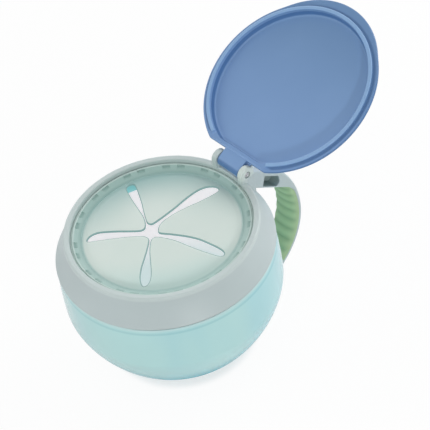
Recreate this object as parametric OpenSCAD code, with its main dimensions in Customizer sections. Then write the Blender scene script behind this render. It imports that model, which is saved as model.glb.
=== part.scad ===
// Toddler snack cup: a round bowl, a screw-on collar with a carrying handle and
// two hinge ears, a flip-open lid on a steel pin, and a soft slit membrane in a
// carrier ring that lets a small hand in and keeps the snacks from falling out.
// The bowl stands on z = 0; the hinge and the handle point along +X.
// The lid is drawn open, resting on its stop.

/* [Bowl] */
// Radius of the flat foot
foot_r = 24; // [18:0.1:28]
// Radius at the widest point of the belly
belly_r = 46.9; // [46.5:0.1:54]
// Height of the widest point of the belly
belly_z = 32.7; // [28:0.1:38]
// Height of the shoulder ledge under the collar
shoulder_z = 53.5; // [50:0.1:60]
// How far the shoulder stands back from the collar's lower edge
shoulder_inset = 0.9; // [0.6:0.1:2]
// Roundness of the curve from belly to foot, 1 is a quarter ellipse
belly_power = 1.365; // [1:0.005:1.6]
// Wall thickness of the bowl
bowl_wall = 1.8; // [1.5:0.1:2.4]
// Thickness of the bowl's base
base_t = 3; // [2:0.1:4]
// Depth of the hollow under the foot
foot_hollow = 0.8; // [0.4:0.1:1.2]
// Width of the ring the bowl stands on
foot_ring = 3; // [2:0.1:5]
// Height of the neck above the shoulder
neck_h = 8.2; // [7.5:0.1:9]
// Width of the neck's flat rim outside the mouth's radius
seat_w = 2; // [1.6:0.1:2.2]
// Wall thickness of the neck
neck_t = 2; // [1.6:0.1:2.4]

/* [Collar] */
// Radius of the mouth inside the lip
lip_r = 38; // [35:0.1:40]
// Width of the rounded bead round the mouth
bead_w = 2.7; // [2.5:0.1:3.2]
// How far the collar flares out from the mouth to its lower edge
flare = 8.1; // [7.5:0.1:8.5]
// Gap between the collar's lower edge and the bowl's shoulder
hem_gap = 0.5; // [0.4:0.1:1.2]
// Height of the collar from its lower edge to the top of the bead
collar_h = 12.6; // [12.2:0.1:13.2]
// Height of the lip's underside above the neck's rim
lip_lift = 1.7; // [1.6:0.1:1.9]
// Room for the thread between the neck and the collar's bore
thread_room = 1.2; // [0.8:0.1:1.3]
// Wall thickness of the collar's skirts
skin_t = 1.7; // [1.4:0.1:2]
// Height of the hollow between the two skirts
hollow_h = 4.4; // [3.5:0.1:5]
// Width of the hollow at its top
hollow_w = 0.4; // [0.2:0.1:0.6]
// How much shorter the inner skirt is
inner_short = 0.6; // [0.4:0.1:1]
// Rounding of the collar's lower edge
hem_round = 0.7; // [0.4:0.1:0.8]
// Rounding of the bead's outer edge
bead_round = 0.9; // [0.5:0.1:1.2]
// Rounding of the mouth's edge
mouth_round = 0.4; // [0.2:0.1:0.6]
// How far the flare's curve is drawn in, from the mouth's radius
flare_in = 4; // [3.5:0.1:4.5]
// Height on the collar where the flare's curve is drawn in
flare_at = 6.5; // [6:0.1:7]

/* [Carrier ring] */
// Thickness of the flange under the collar's lip
flange_t = 1.2; // [1:0.1:1.2]
// Gap between the flange and the neck's rim
flange_gap = 0.2; // [0.15:0.05:0.25]
// Height of the ring's rim above its flange
rim_h = 1.8; // [1.5:0.1:2]
// Width of the flat top of the rim
rim_w = 1.6; // [1.2:0.1:2]
// Width of the sloping wall inside the rim
slope_w = 2.7; // [2.2:0.1:3.2]
// Clearance round the ring inside the lip and the neck
ring_clear = 0.3; // [0.25:0.05:0.4]
// Height of the locating skirt below the flange
skirt_h = 2.6; // [2:0.1:4]
// Wall of the locating skirt
skirt_t = 1.2; // [0.9:0.1:1.6]
// Number of pairs of windows in the sloping wall
window_pairs = 13; // [8:1:14]
// Width of one window
window_w = 3.6; // [2.5:0.1:3.8]
// Height of one window up the sloping wall
window_h = 2.1; // [1.5:0.1:2.2]
// Angle between the two windows of a pair
window_split = 10.5; // [9.5:0.5:12]
// Depth of the windows
window_d = 0.6; // [0.4:0.1:0.8]
// Height of the wall's foot over the membrane
wall_foot = 0.3; // [0.2:0.1:0.5]
// Bevel of the ring's edges
ring_edge = 0.3; // [0.2:0.1:0.5]

/* [Membrane] */
// How far the membrane's edge lies below the flange's top
membrane_drop = 0.2; // [0:0.1:0.4]
// Thickness of the soft membrane
membrane_t = 0.9; // [0.7:0.1:1.1]
// Rise of the membrane inside its edge
membrane_rise = 0.6; // [0.3:0.1:1]
// Width over which the membrane rises at its edge
edge_rise_w = 1.9; // [1.5:0.1:2.2]
// How far the membrane reaches under the sloping wall
membrane_grip = 1.8; // [1.2:0.1:2]
// Number of slits
slits = 5; // [4:1:6]
// Distance of the slits' outer ends from the middle of the mouth
slit_reach = 31; // [26:0.1:31]
// Width of a slit where the flaps' tips meet
slit_in = 1.2; // [0.8:0.1:2]
// Width of a slit near its outer end
slit_out = 3.8; // [2:0.1:4.5]
// Radius of the hole between the flaps' tips
tip_hole_r = 3.2; // [2.6:0.1:4.5]
// Distance of that hole from the middle of the mouth
tip_hole_off = 3.9; // [0:0.1:4.5]
// Direction of that hole, measured from the hinge
tip_hole_dir = 138; // [0:1:359]

/* [Lid] */
// How far the lid reaches past the mouth's radius
lid_lap = 1.6; // [1.2:0.1:2.2]
// Thickness of the lid's edge
lid_edge_t = 1.5; // [1.2:0.1:1.8]
// Gap between the closed lid and the collar's bead
lid_gap = 0.4; // [0.3:0.05:0.6]
// Height of the crown's shoulder above the lid's edge
crown_h = 2.7; // [2.2:0.1:3]
// Extra rise of the crown in its middle
crown_rise = 1.2; // [0.5:0.1:3]
// Wall thickness of the crown
lid_wall = 1.8; // [1.4:0.1:2]
// Reach of the plug ring below the lid's edge
plug_h = 1.5; // [1:0.05:1.6]
// Thickness of the plug ring at its tip
plug_t = 1.7; // [1.4:0.1:2]
// Inward slope of the plug ring's inner face
plug_draft = 0.9; // [0.4:0.1:1.2]
// Inward slope of the plug ring's outer face
plug_taper = 0.2; // [0.1:0.05:0.3]
// Clearance between the plug ring and the mouth
plug_clear = 0.4; // [0.3:0.05:0.6]
// Angle left open in the plug ring on the hinge side
plug_open = 51; // [46:1:60]
// How far the thumb lip stands out past the lid's edge
thumb_out = 2.6; // [2:0.1:3.5]
// Radius of the thumb lip
thumb_r = 34; // [26:0.5:36]
// Distance of the lid's straight hinge edge from the pin
chord_back = 4.3; // [4.2:0.1:4.8]
// How far the knuckle's neck runs into the lid
neck_root = 2.2; // [1.8:0.1:2.4]
// Width of the rim along the straight hinge edge
chord_rim = 2.6; // [2.2:0.1:3.2]
// How far the lid is turned open from closed
lid_open = 153.9; // [0:0.1:153.9]

/* [Hinge] */
// How far the pin's line lies inside the bead's outer radius
hinge_in = 0.4; // [0.2:0.1:0.8]
// Height of the pin above the top of the bead
hinge_h = 3.2; // [3.2:0.1:3.8]
// Radius of the steel pin
pin_r = 1.2; // [0.9:0.05:1.4]
// Radial clearance of the pin in the lid's knuckle
pin_clear = 0.06; // [0.03:0.01:0.1]
// Radial clearance of the pin in the ears
ear_clear = 0.02; // [0.01:0.01:0.05]
// How far the pin's ends lie inside the ears' faces
pin_inset = 0.2; // [0.1:0.05:0.4]
// Radius of the lid's knuckle
knuckle_r = 2.9; // [2.6:0.1:2.9]
// Width of the knuckle
knuckle_w = 12.8; // [10:0.1:13]
// Height of the knuckle's neck over the pin's line
neck_top = 1.6; // [1.4:0.1:1.8]
// Radius of the ears
ear_r = 3.6; // [3.2:0.1:3.6]
// Thickness of one ear
ear_t = 2.6; // [2.2:0.1:3.4]
// Side gap between the knuckle and an ear
ear_gap = 0.3; // [0.25:0.05:0.5]
// Gap between the knuckle and the stop ledge behind it
stop_gap = 0.4; // [0.3:0.05:0.5]
// How far the stop ledge reaches out behind the pin
ledge_out = 5.6; // [5:0.1:6]
// How far the stop ledge reaches down the collar
ledge_h = 5; // [4:0.1:6]

/* [Handle] */
// Finger gap between the belly and the grip
finger_gap = 17.2; // [15:0.1:24]
// Thickness of the handle from grip to back
handle_t = 5.3; // [4.8:0.1:6.5]
// Width of the handle
handle_w = 13.6; // [12:0.1:16]
// Height where the handle stands furthest out
handle_z = 29; // [26:0.1:31]
// Radius of the handle's back above that height
upper_r = 44; // [42:0.1:50]
// Radius of the handle's back below that height
lower_r = 34; // [31:0.1:36]
// Radius of the bend from the arm into the back
bend_r = 15; // [12:0.1:18]
// Slope of the arm's top
arm_slope = 35.3; // [33:0.1:38]
// Angle on the back where the bend begins
bend_start = 35.1; // [33:0.1:36]
// Thickness of the arm from its top to its underside
arm_t = 8.2; // [7.8:0.1:8.8]
// Height of the handle's free end above the table
tip_z = 1; // [0.8:0.1:4]
// Thickness of the hard back behind the grip
back_t = 1.8; // [1.4:0.1:2.2]
// Width of the hard core inside the grip
core_w = 8.6; // [6:0.1:9.6]
// Cover of the grip over the front of the core
grip_cover = 1.5; // [1.2:0.1:2]
// Fit of the grip round the core
grip_fit = 0.05; // [0.03:0.01:0.1]
// Rounding of the grip's inner edges
grip_round = 3; // [1.5:0.1:3.2]
// Length of the bare tip below the grip
bare_tip = 0.8; // [0.5:0.1:6]
// Length of the strap slot
slot_l = 9.2; // [8:0.1:9.5]
// Height of the strap slot
slot_h = 4.9; // [4:0.1:5.1]
// Distance of the strap slot's round end past the arm's bend
slot_out = 1.4; // [0:0.1:2]
// Thickness of the wall under the strap slot
slot_floor = 1; // [0.8:0.1:1.2]
// Web left between the two sides of the strap slot
slot_web = 3; // [2:0.1:5]
// Distance between the grip's finger grooves
groove_pitch = 4.9; // [4.4:0.1:6]
// Depth of the finger grooves
groove_d = 0.3; // [0.2:0.05:0.5]
// Radius of the finger grooves
groove_r = 0.8; // [0.6:0.1:1.2]
// Number of finger grooves above the handle's middle
grooves_up = 3; // [1:1:3]
// Number of finger grooves below the handle's middle
grooves_down = 5; // [3:1:5]

/* [Hidden] */
$fn = 96;
over = 1;
big = 120;
// Heights that the pieces share
rim_z = shoulder_z + neck_h;
hem_z = shoulder_z + hem_gap;
bead_z = hem_z + collar_h;
lip_z = rim_z + lip_lift;
flange_z = rim_z + flange_gap;
ring_top = flange_z + flange_t + rim_h;
// Radii that the pieces share
neck_r = lip_r + seat_w;
bore_r = neck_r + thread_room;
bead_r = lip_r + bead_w;
hem_r = lip_r + flare;
shoulder_r = hem_r - shoulder_inset;
ring_r = lip_r - ring_clear;
slope_r = ring_r - rim_w;
window_r = slope_r - slope_w;
membrane_z = flange_z + flange_t - membrane_drop;
clamp_r = window_r + membrane_grip;
// The lid when closed
lid_z = bead_z + lid_gap;
lid_r = lip_r + lid_lap;
plug_r = lip_r - plug_clear;
recess_r = plug_r - plug_t - plug_draft;
crown_r = plug_r;
crown_z = lid_z + lid_edge_t + crown_h;
hinge_x = bead_r - hinge_in;
hinge_z = bead_z + hinge_h;
chord_x = hinge_x - chord_back;
ear_y = knuckle_w / 2 + ear_gap;
ear_out = ear_y + ear_t;
// Handle: centres of the two arcs and the bend
back_x = belly_r + finger_gap + handle_t;
upper_x = back_x - upper_r;
lower_x = back_x - lower_r;
bend_x = upper_x + (upper_r - bend_r) * cos(bend_start);
bend_z = handle_z + (upper_r - bend_r) * sin(bend_start);
tip_a = asin((handle_z - tip_z - handle_t / 2) / (lower_r - handle_t / 2));
crown_turn = 75;
bare_a = bare_tip / lower_r * 180 / PI;
grip_end_a = 2 * grip_fit / lower_r * 180 / PI;
arm_a = 90 - arm_slope;
arm_end = [bend_x + bend_r * cos(arm_a), bend_z + bend_r * sin(arm_a)];
root_x = bore_r - 1;
core_in = handle_t - grip_cover;
// The angle at which the lid meets its stop
lid_open_max = 153.9;

// Points of an arc round c from angle a0 to angle a1, in n steps
function arc(c, r, a0, a1, n) =
    [for (i = [0 : n]) let (a = a0 + (a1 - a0) * i / n) c + r * [cos(a), sin(a)]];
// Points of a curve that leaves p and reaches q along the lines to c
function curve(p, c, q, n) =
    [for (i = [0 : n]) let (t = i / n) (1 - t) * (1 - t) * p + 2 * t * (1 - t) * c + t * t * q];
function backward(list) = [for (i = [len(list) - 1 : -1 : 0]) list[i]];
// Side of the bowl from the shoulder over the belly to the floor, set in by d
function bowl_side(d, floor_z) = concat(
    [for (u = [0 : 9 : 90]) [
        shoulder_r - d + (belly_r - shoulder_r) * sin(u),
        belly_z + (shoulder_z - d - belly_z) * cos(u)]],
    [for (t = [5 : 5 : 90]) [
        foot_r + (belly_r - d - foot_r) * pow(cos(t), belly_power),
        belly_z - (belly_z - floor_z) * pow(sin(t), belly_power)]]);
// Line of the handle's back from the arm down to the angle -a, set in by d
function back_line(d, a = tip_a) = concat(
    arc([bend_x, bend_z], bend_r - d, arm_a, bend_start, 8),
    arc([upper_x, handle_z], upper_r - d, bend_start - 2, 0, 16),
    arc([lower_x, handle_z], lower_r - d, -2, -a, 24));

// Draws a shape given in x and z as a plate of width w, centred on y = 0
module plate(w) {
    rotate([90, 0, 0]) linear_extrude(w, center = true) children();
}

// Turns the closed lid about the pin by a
module swing(a) {
    translate([hinge_x, 0, hinge_z]) rotate([0, a, 0]) translate([-hinge_x, 0, -hinge_z]) children();
}

// Everything below the line of the arm's underside, lowered by d
module below_arm(d) {
    translate(arm_end) rotate(-arm_slope) translate([-big, -arm_t - d - big]) square([2 * big, big]);
}

module bowl() {
    color([0.66, 0.83, 0.84])
    rotate_extrude() polygon(concat(
        [[0, base_t]],
        backward(bowl_side(bowl_wall, base_t)),
        [[neck_r - neck_t, shoulder_z - bowl_wall], [neck_r - neck_t, rim_z]],
        [[neck_r, rim_z], [neck_r, shoulder_z]],
        bowl_side(0, 0),
        [[foot_r - foot_ring, 0], [foot_r - foot_ring - foot_hollow, foot_hollow]],
        [[0, foot_hollow]]));
}

module flap_ring() {
    bottom = flange_z - skirt_h;
    color([0.62, 0.76, 0.73])
    difference() {
        rotate_extrude() polygon([
            [window_r, membrane_z], [window_r, membrane_z + wall_foot], [slope_r, ring_top],
            [ring_r - ring_edge, ring_top], [ring_r, ring_top - ring_edge], [ring_r, flange_z + flange_t],
            [neck_r, flange_z + flange_t], [neck_r, flange_z], [ring_r, flange_z],
            [ring_r, bottom + ring_edge], [ring_r - ring_edge, bottom], [ring_r - skirt_t, bottom],
            [ring_r - skirt_t, membrane_z - membrane_t], [clamp_r, membrane_z - membrane_t],
            [clamp_r, membrane_z]]);
        for (k = [0 : window_pairs - 1], s = [-0.5, 0.5])
            rotate([0, 0, (k + 0.5) * 360 / window_pairs + s * window_split])
            translate([(window_r + slope_r) / 2, 0, (membrane_z + wall_foot + ring_top) / 2])
            rotate([0, -atan2(ring_top - membrane_z - wall_foot, slope_w), 0])
            translate([0, 0, window_d / 2])
            cube([window_h, window_w, 3 * window_d], center = true);
    }
}

module flap_membrane() {
    top = membrane_z + membrane_rise;
    hole = tip_hole_off * [cos(tip_hole_dir), sin(tip_hole_dir)];
    end_r = slit_out / 2;
    color([0.8, 0.87, 0.84])
    difference() {
        rotate_extrude() polygon([
            [0, top - membrane_t], [window_r - edge_rise_w, top - membrane_t],
            [window_r, membrane_z - membrane_t], [clamp_r - grip_fit, membrane_z - membrane_t],
            [clamp_r - grip_fit, membrane_z], [window_r, membrane_z],
            [window_r - edge_rise_w, top], [0, top]]);
        translate([0, 0, membrane_z - 2 * membrane_t]) linear_extrude(4 * membrane_t + membrane_rise) {
            translate(hole) circle(tip_hole_r, $fn = 48);
            for (k = [0 : slits - 1]) {
                end = (slit_reach - end_r) * [cos(k * 360 / slits), sin(k * 360 / slits)];
                along = (end - hole) / norm(end - hole);
                side = [-along[1], along[0]];
                translate(end) circle(end_r, $fn = 32);
                polygon([hole + side * slit_in / 2, hole - side * slit_in / 2,
                    end - side * 0.97 * end_r, end + side * 0.97 * end_r]);
            }
        }
    }
}

module collar_shell() {
    inner_r = bore_r + skin_t;
    rotate_extrude() polygon(concat(
        [[lip_r, lip_z], [bore_r, lip_z], [bore_r, hem_z + inner_short]],
        [[inner_r, hem_z + inner_short], [inner_r, hem_z + hollow_h], [inner_r + hollow_w, hem_z + hollow_h]],
        [[hem_r - skin_t, hem_z]],
        arc([hem_r - hem_round, hem_z + hem_round], hem_round, -90, 0, 6),
        curve([hem_r, hem_z + 1.2 * hem_round], [lip_r + flare_in, hem_z + flare_at],
            [bead_r, bead_z - 1.2 * bead_round], 16),
        arc([bead_r - bead_round, bead_z - bead_round], bead_round, 10, 90, 8),
        arc([lip_r + mouth_round, bead_z - 1.5 * mouth_round], mouth_round, 90, 180, 4)));
}

module ears() {
    for (s = [-1, 1])
        translate([0, s * (ear_y + ear_t / 2), 0])
        plate(ear_t) {
            translate([hinge_x, hinge_z]) circle(ear_r);
            translate([hinge_x - ear_r, hem_z + flare_at / 3])
                square([2 * ear_r, hinge_z - hem_z - flare_at / 3]);
        }
}

// Ledge behind the knuckle that the lid's neck comes to rest on
module stop_ledge() {
    intersection() {
        plate(2 * ear_y + ear_t / 4) translate([hinge_x, bead_z - ledge_h])
            square([ledge_out, ledge_h + hinge_h + ear_r]);
        swing(lid_open_max) translate([-big / 2, -big / 2, hinge_z + neck_top + stop_gap])
            cube(big);
    }
}

// Sweeps a section up from the handle's middle height, about a line through x, by the angle a
module turn_up(x, a) {
    translate([x, 0, handle_z]) rotate([90, 0, 0]) rotate_extrude(angle = a) children();
}

// Sweeps a section down from the handle's middle height, about a line through x, by the angle a
module turn_down(x, a) {
    translate([x, 0, handle_z]) mirror([0, 0, 1]) rotate([90, 0, 0]) rotate_extrude(angle = a) children();
}

// Section of the grip inside a back whose outer face is at radius r
module grip_section(r) {
    half = handle_w / 2;
    face = r - handle_t;
    polygon(concat(
        [[r - back_t - grip_fit, half]],
        arc([face + grip_round, half - grip_round], grip_round, 90, 180, 8),
        arc([face + grip_round, grip_round - half], grip_round, 180, 270, 8),
        [[r - back_t - grip_fit, -half]]));
}

module arm() {
    plate(handle_w) difference() {
        polygon(concat(
            [[root_x, arm_end[1] - 2 * arm_t], [root_x, arm_end[1] + (arm_end[0] - root_x) * tan(arm_slope)]],
            back_line(0)));
        below_arm(0);
    }
}

// Outline of the handle's band between two depths from its back, down to the angle -a
module band(d0, d1, a = tip_a) {
    polygon(concat(back_line(d0, a), backward(back_line(d1, a))));
}

module handle() {
    arm();
    plate(handle_w) band(0, back_t);
    plate(core_w) band(back_t / 2, core_in);
    plate(handle_w) bare_end();
}

// The free end of the handle below the grip
module bare_end() {
    c = [lower_x, handle_z];
    translate(c + (lower_r - handle_t / 2) * [cos(tip_a), -sin(tip_a)]) intersection() {
        circle(handle_t / 2);
        rotate(-tip_a) translate([-handle_t, bare_tip / 2 - 2 * handle_t]) square(2 * handle_t);
    }
    polygon(concat(arc(c, lower_r - back_t / 2, -tip_a, bare_a - tip_a, 4),
        arc(c, lower_r - handle_t, bare_a - tip_a, -tip_a, 4)));
}

// One blind pocket of the strap slot on each side of the arm
module strap_slot() {
    mid = arm_end + (slot_floor + slot_h / 2 - arm_t) * [sin(arm_slope), cos(arm_slope)]
        + slot_out * [cos(arm_slope), -sin(arm_slope)];
    for (s = [-1, 1])
        translate([0, s * (slot_web + handle_w) / 2, 0])
        plate(handle_w)
        translate(mid) rotate(-arm_slope) {
            translate([-slot_l + slot_h / 2, -slot_h / 2]) square([slot_l - slot_h / 2, slot_h]);
            circle(slot_h / 2);
        }
}

module collar() {
    color([0.74, 0.8, 0.8])
    difference() {
        union() {
            collar_shell();
            ears();
            stop_ledge();
            handle();
        }
        translate([0, 0, lip_z - big]) cylinder(r = bore_r, h = big);
        translate([0, 0, lip_z - over]) cylinder(r = lip_r, h = bead_z - lip_z + over);
        translate([hinge_x, 0, hinge_z]) rotate([90, 0, 0]) {
            cylinder(r = pin_r + ear_clear, h = 3 * ear_out, center = true);
            cylinder(r = knuckle_r + stop_gap, h = 2 * ear_y, center = true);
        }
        strap_slot();
    }
}

module handle_grip() {
    color([0.5, 0.62, 0.5])
    difference() {
        union() {
            turn_down(lower_x, tip_a - bare_a - grip_end_a) grip_section(lower_r);
            turn_up(upper_x, bend_start) grip_section(upper_r);
            plate(handle_w - 2 * grip_round) band(core_in, (core_in + handle_t) / 2, tip_a / 2);
        }
        plate(handle_w + over) difference() {
            translate(arm_end - [big / 2, big / 2]) square(big);
            below_arm(grip_fit);
        }
        plate(core_w + 2 * grip_fit) band(0, core_in + grip_fit);
        for (k = [0 : grooves_up - 1])
            groove(upper_x, upper_r - handle_t, (k + 0.5) * groove_pitch);
        for (k = [0 : grooves_down - 1])
            groove(lower_x, lower_r - handle_t, -(k + 0.5) * groove_pitch);
    }
}

// A groove across the grip at distance s along its inner face of radius r
module groove(cx, r, s) {
    a = s / r * 180 / PI;
    plate(handle_w + 2 * over)
    translate([cx, handle_z] + (r - groove_r + groove_d) * [cos(a), sin(a)])
        circle(groove_r, $fn = 24);
}

module hinge_pin() {
    color([0.6, 0.6, 0.62])
    translate([hinge_x, 0, hinge_z]) rotate([90, 0, 0])
    cylinder(r = pin_r, h = 2 * (ear_out - pin_inset), center = true);
}

// Outline of the lid's edge
module lid_outline() {
    difference() {
        union() {
            circle(lid_r);
            translate([thumb_r - lid_r - thumb_out, 0]) circle(thumb_r);
        }
        translate([chord_x, -big / 2]) square(big);
    }
}

// Outer skin of the crown above the lid's edge
function crown_line(r0, z0, rise) =
    [for (i = [0 : 8]) let (r = r0 * (1 - i / 8)) [r, z0 + rise * (1 - pow(r / r0, 2))]];

module lid_body() {
    top = lid_z + lid_edge_t;
    translate([0, 0, lid_z]) linear_extrude(lid_edge_t) lid_outline($fn = 192);
    difference() {
        rotate_extrude() polygon(concat(
            [[0, lid_z], [crown_r, lid_z], [crown_r, top]],
            arc([crown_r - crown_h, crown_z - crown_h], crown_h, 0, crown_turn, 5),
            crown_line(crown_r - crown_h, crown_z, crown_rise)));
        translate([chord_x, -big / 2, 0]) cube(big);
    }
    difference() {
        translate([0, 0, lid_z - plug_h]) cylinder(r1 = plug_r - plug_taper, r2 = plug_r, h = plug_h + lid_edge_t / 2);
        linear_extrude(big, center = false)
            polygon([[0, 0], [big, -big * tan(plug_open / 2)], [big, big * tan(plug_open / 2)]]);
    }
}

// Hollow under the crown, inside the plug ring
module lid_recess() {
    floor_z = crown_z - lid_wall;
    difference() {
        rotate_extrude() polygon(concat(
            [[0, lid_z - plug_h - over], [plug_r - plug_t, lid_z - plug_h - over],
            [plug_r - plug_t, lid_z - plug_h]],
            crown_line(recess_r, floor_z, crown_rise)));
        translate([chord_x - chord_rim, -big / 2, 0]) cube(big);
    }
}

module closed_lid() {
    difference() {
        union() {
            lid_body();
            translate([hinge_x, 0, hinge_z]) rotate([90, 0, 0])
                cylinder(r = knuckle_r, h = knuckle_w, center = true);
            translate([chord_x - neck_root, -knuckle_w / 2, lid_z])
                cube([chord_back + neck_root, knuckle_w, hinge_z + neck_top - lid_z]);
        }
        lid_recess();
        translate([hinge_x, 0, hinge_z]) rotate([90, 0, 0])
            cylinder(r = pin_r + pin_clear, h = 2 * ear_out, center = true);
    }
}

module lid() {
    color([0.46, 0.58, 0.75]) swing(lid_open) closed_lid();
}

bowl();
flap_ring();
flap_membrane();
collar();
handle_grip();
hinge_pin();
lid();
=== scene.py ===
import math

import bmesh
import bpy
import numpy as np
from mathutils import Matrix, Vector
from mathutils.geometry import delaunay_2d_cdt


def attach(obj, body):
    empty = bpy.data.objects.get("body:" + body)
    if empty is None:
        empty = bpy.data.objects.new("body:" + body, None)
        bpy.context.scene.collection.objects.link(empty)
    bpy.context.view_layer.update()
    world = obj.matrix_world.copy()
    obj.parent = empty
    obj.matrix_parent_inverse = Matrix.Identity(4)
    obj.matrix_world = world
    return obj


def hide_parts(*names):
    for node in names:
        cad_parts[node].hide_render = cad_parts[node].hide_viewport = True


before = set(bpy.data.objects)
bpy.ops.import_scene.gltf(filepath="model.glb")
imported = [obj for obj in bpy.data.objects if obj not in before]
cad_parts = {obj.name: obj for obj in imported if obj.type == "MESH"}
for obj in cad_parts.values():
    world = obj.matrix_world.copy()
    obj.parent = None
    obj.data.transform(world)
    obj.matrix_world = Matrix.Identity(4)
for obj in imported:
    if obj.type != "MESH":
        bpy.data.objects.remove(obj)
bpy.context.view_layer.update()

# Sizes in millimetres, as the snack cup is drawn; meshes are written in metres
MM = 0.001
# bowl, neck and thread
FOOT_R, BELLY_R, BELLY_Z, BELLY_POWER = 24.0, 46.9, 32.7, 1.365
SHOULDER_R, SHOULDER_Z, BOWL_WALL, BASE_T = 45.2, 53.5, 1.8, 3.0
NECK_R, NECK_T, RIM_Z, SHOULDER_STEPS, SIDE_STEPS = 40.0, 2.0, 61.7, 16, 40
THREAD_Z, THREAD_T, THREAD_RISE, THREAD_TURNS, THREAD_STARTS = 55.5, 0.75, 4.2, 0.26, 4
# collar
HEM_Z, HEM_R, BEAD_Z, BEAD_R, LIP_R, LIP_Z, BORE_R = 54.0, 46.1, 66.6, 40.7, 38.0, 63.4, 41.2
# carrier ring and membrane
RING_R, RING_WALL, WINDOW_R, WINDOW_PAIRS, FLANGE_Z, FLANGE_T = 37.7, 1.2, 33.4, 13, 61.9, 1.2
MEMBRANE_Z, MEMBRANE_T, MEMBRANE_RISE, DOME_RUN, CLAMP_R = 62.9, 0.9, 0.6, 3.2, 35.1
RIM_POINTS, GRID_STEP = 180, 1.1
# hinge and stop ledge; cutters reach CUT_REACH to both sides
HINGE_X, HINGE_Z, LID_OPEN = 40.3, 69.8, math.radians(153.9)
KNUCKLE_R, KNUCKLE_W, EAR_R, EAR_IN, EAR_OUT, PIN_R, PIN_HALF = 2.9, 12.8, 3.6, 6.7, 9.3, 1.2, 9.1
LEDGE_GAP, CUT_REACH = 2.0, 12.0
# lid, as it lies when closed
LID_Z, LID_EDGE, LID_R, CHORD_X, LID_AROUND = 67.0, 1.5, 39.6, 36.0, 480
PLUG_R, PLUG_GAP, TIP_Z, CROWN_Z, CROWN_ROUND, EDGE_ROUND = 37.6, 25.2, 65.5, 71.2, 2.2, 0.45
HOLLOW_R, HOLLOW_Z, LID_RISE, RIDGE_HALF = 34.1, 69.4, 1.2, 15.6
THUMB_R, THUMB_OFF, THUMB_BLEND = 34.0, -8.2, 0.35
# handle and grip
HANDLE_W, HANDLE_T, BACK_T, CORE_IN, CORE_HALF, FULLNESS = 13.6, 5.3, 1.8, 3.8, 4.3, 0.88
HANDLE_Z, UPPER_X, UPPER_R, LOWER_X, LOWER_R = 29.0, 25.4, 44.0, 35.4, 34.0
BEND_R, BEND_A, ARM_A, TIP_A, BARE_A = 15.0, 35.1, 54.7, 53.95, 1.35
ARM_T, TURN_R, ROOT_X = 8.2, 4.2, 40.2

# Edges sharper than this many degrees stay sharp; radii under ON_AXIS count as on the axis
SHARP, ON_AXIS = 32.0, 1e-6
# In metres: how deep a grain of full strength goes
BUMP_DEPTH = 0.0001
# The level direction towards the far side, in which the membrane's painted shade grows
FAR_WAY = (0.563, 0.826, 0.0)


def in_metres(*point):
    """A place given in millimetres, in metres."""
    return tuple(c * MM for c in point)


def srgb(r, g, b):
    """A colour written in 0-255 screen values, as linear light."""
    def lin(c):
        c /= 255.0
        return c / 12.92 if c <= 0.04045 else ((c + 0.055) / 1.055) ** 2.4
    return (lin(r), lin(g), lin(b), 1.0)


class Value:
    """A socket of a node tree that can be used in a Python expression."""

    def __init__(self, tree, socket):
        self.tree, self.socket = tree, socket

    def __add__(self, other):
        return self.tree.maths("ADD", self, other)

    def __sub__(self, other):
        return self.tree.maths("SUBTRACT", self, other)

    def __rsub__(self, other):
        return self.tree.maths("SUBTRACT", other, self)

    def __mul__(self, other):
        return self.tree.maths("MULTIPLY", self, other)

    def __truediv__(self, other):
        return self.tree.maths("DIVIDE", self, other)

    def __abs__(self):
        return self.tree.maths("ABSOLUTE", self)

    __radd__, __rmul__ = __add__, __mul__


class NodeMaker:
    """A node tree whose nodes are added one by one, each giving a value for the next."""

    def __init__(self, tree):
        self.tree = tree

    def node(self, kind, settings=None, values=None, out=0):
        made = self.tree.nodes.new(kind)
        for name, setting in (settings or {}).items():
            setattr(made, name, setting)
        for name, value in (values or {}).items():
            if isinstance(value, Value):
                self.tree.links.new(value.socket, made.inputs[name])
            else:
                made.inputs[name].default_value = value
        return made if out is None else Value(self, made.outputs[out])

    def maths(self, operation, a, b=0.0):
        return self.node("ShaderNodeMath", {"operation": operation}, {0: a, 1: b})

    def vector(self, operation, a, b=(0.0, 0.0, 0.0), out=0):
        return self.node("ShaderNodeVectorMath", {"operation": operation}, {0: a, 1: b}, out)

    def dot(self, a, b):
        return self.vector("DOT_PRODUCT", a, b, 1)

    def scaled(self, vector, amount):
        return self.node("ShaderNodeVectorMath", {"operation": "SCALE"}, {0: vector, "Scale": amount})

    def off_axis(self, place):
        """How far a place is from the bowl's axis."""
        return self.vector("LENGTH", self.vector("MULTIPLY", place, (1, 1, 0)), out=1)

    def part(self, vector, axis):
        return self.node("ShaderNodeSeparateXYZ", {}, {0: vector}, axis)

    def between(self, value, low, high):
        """0 at low, 1 at high, smooth between."""
        return self.node("ShaderNodeMapRange", {"interpolation_type": "SMOOTHSTEP"},
                         {0: value, 1: low, 2: high, 3: 0.0, 4: 1.0})


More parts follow.
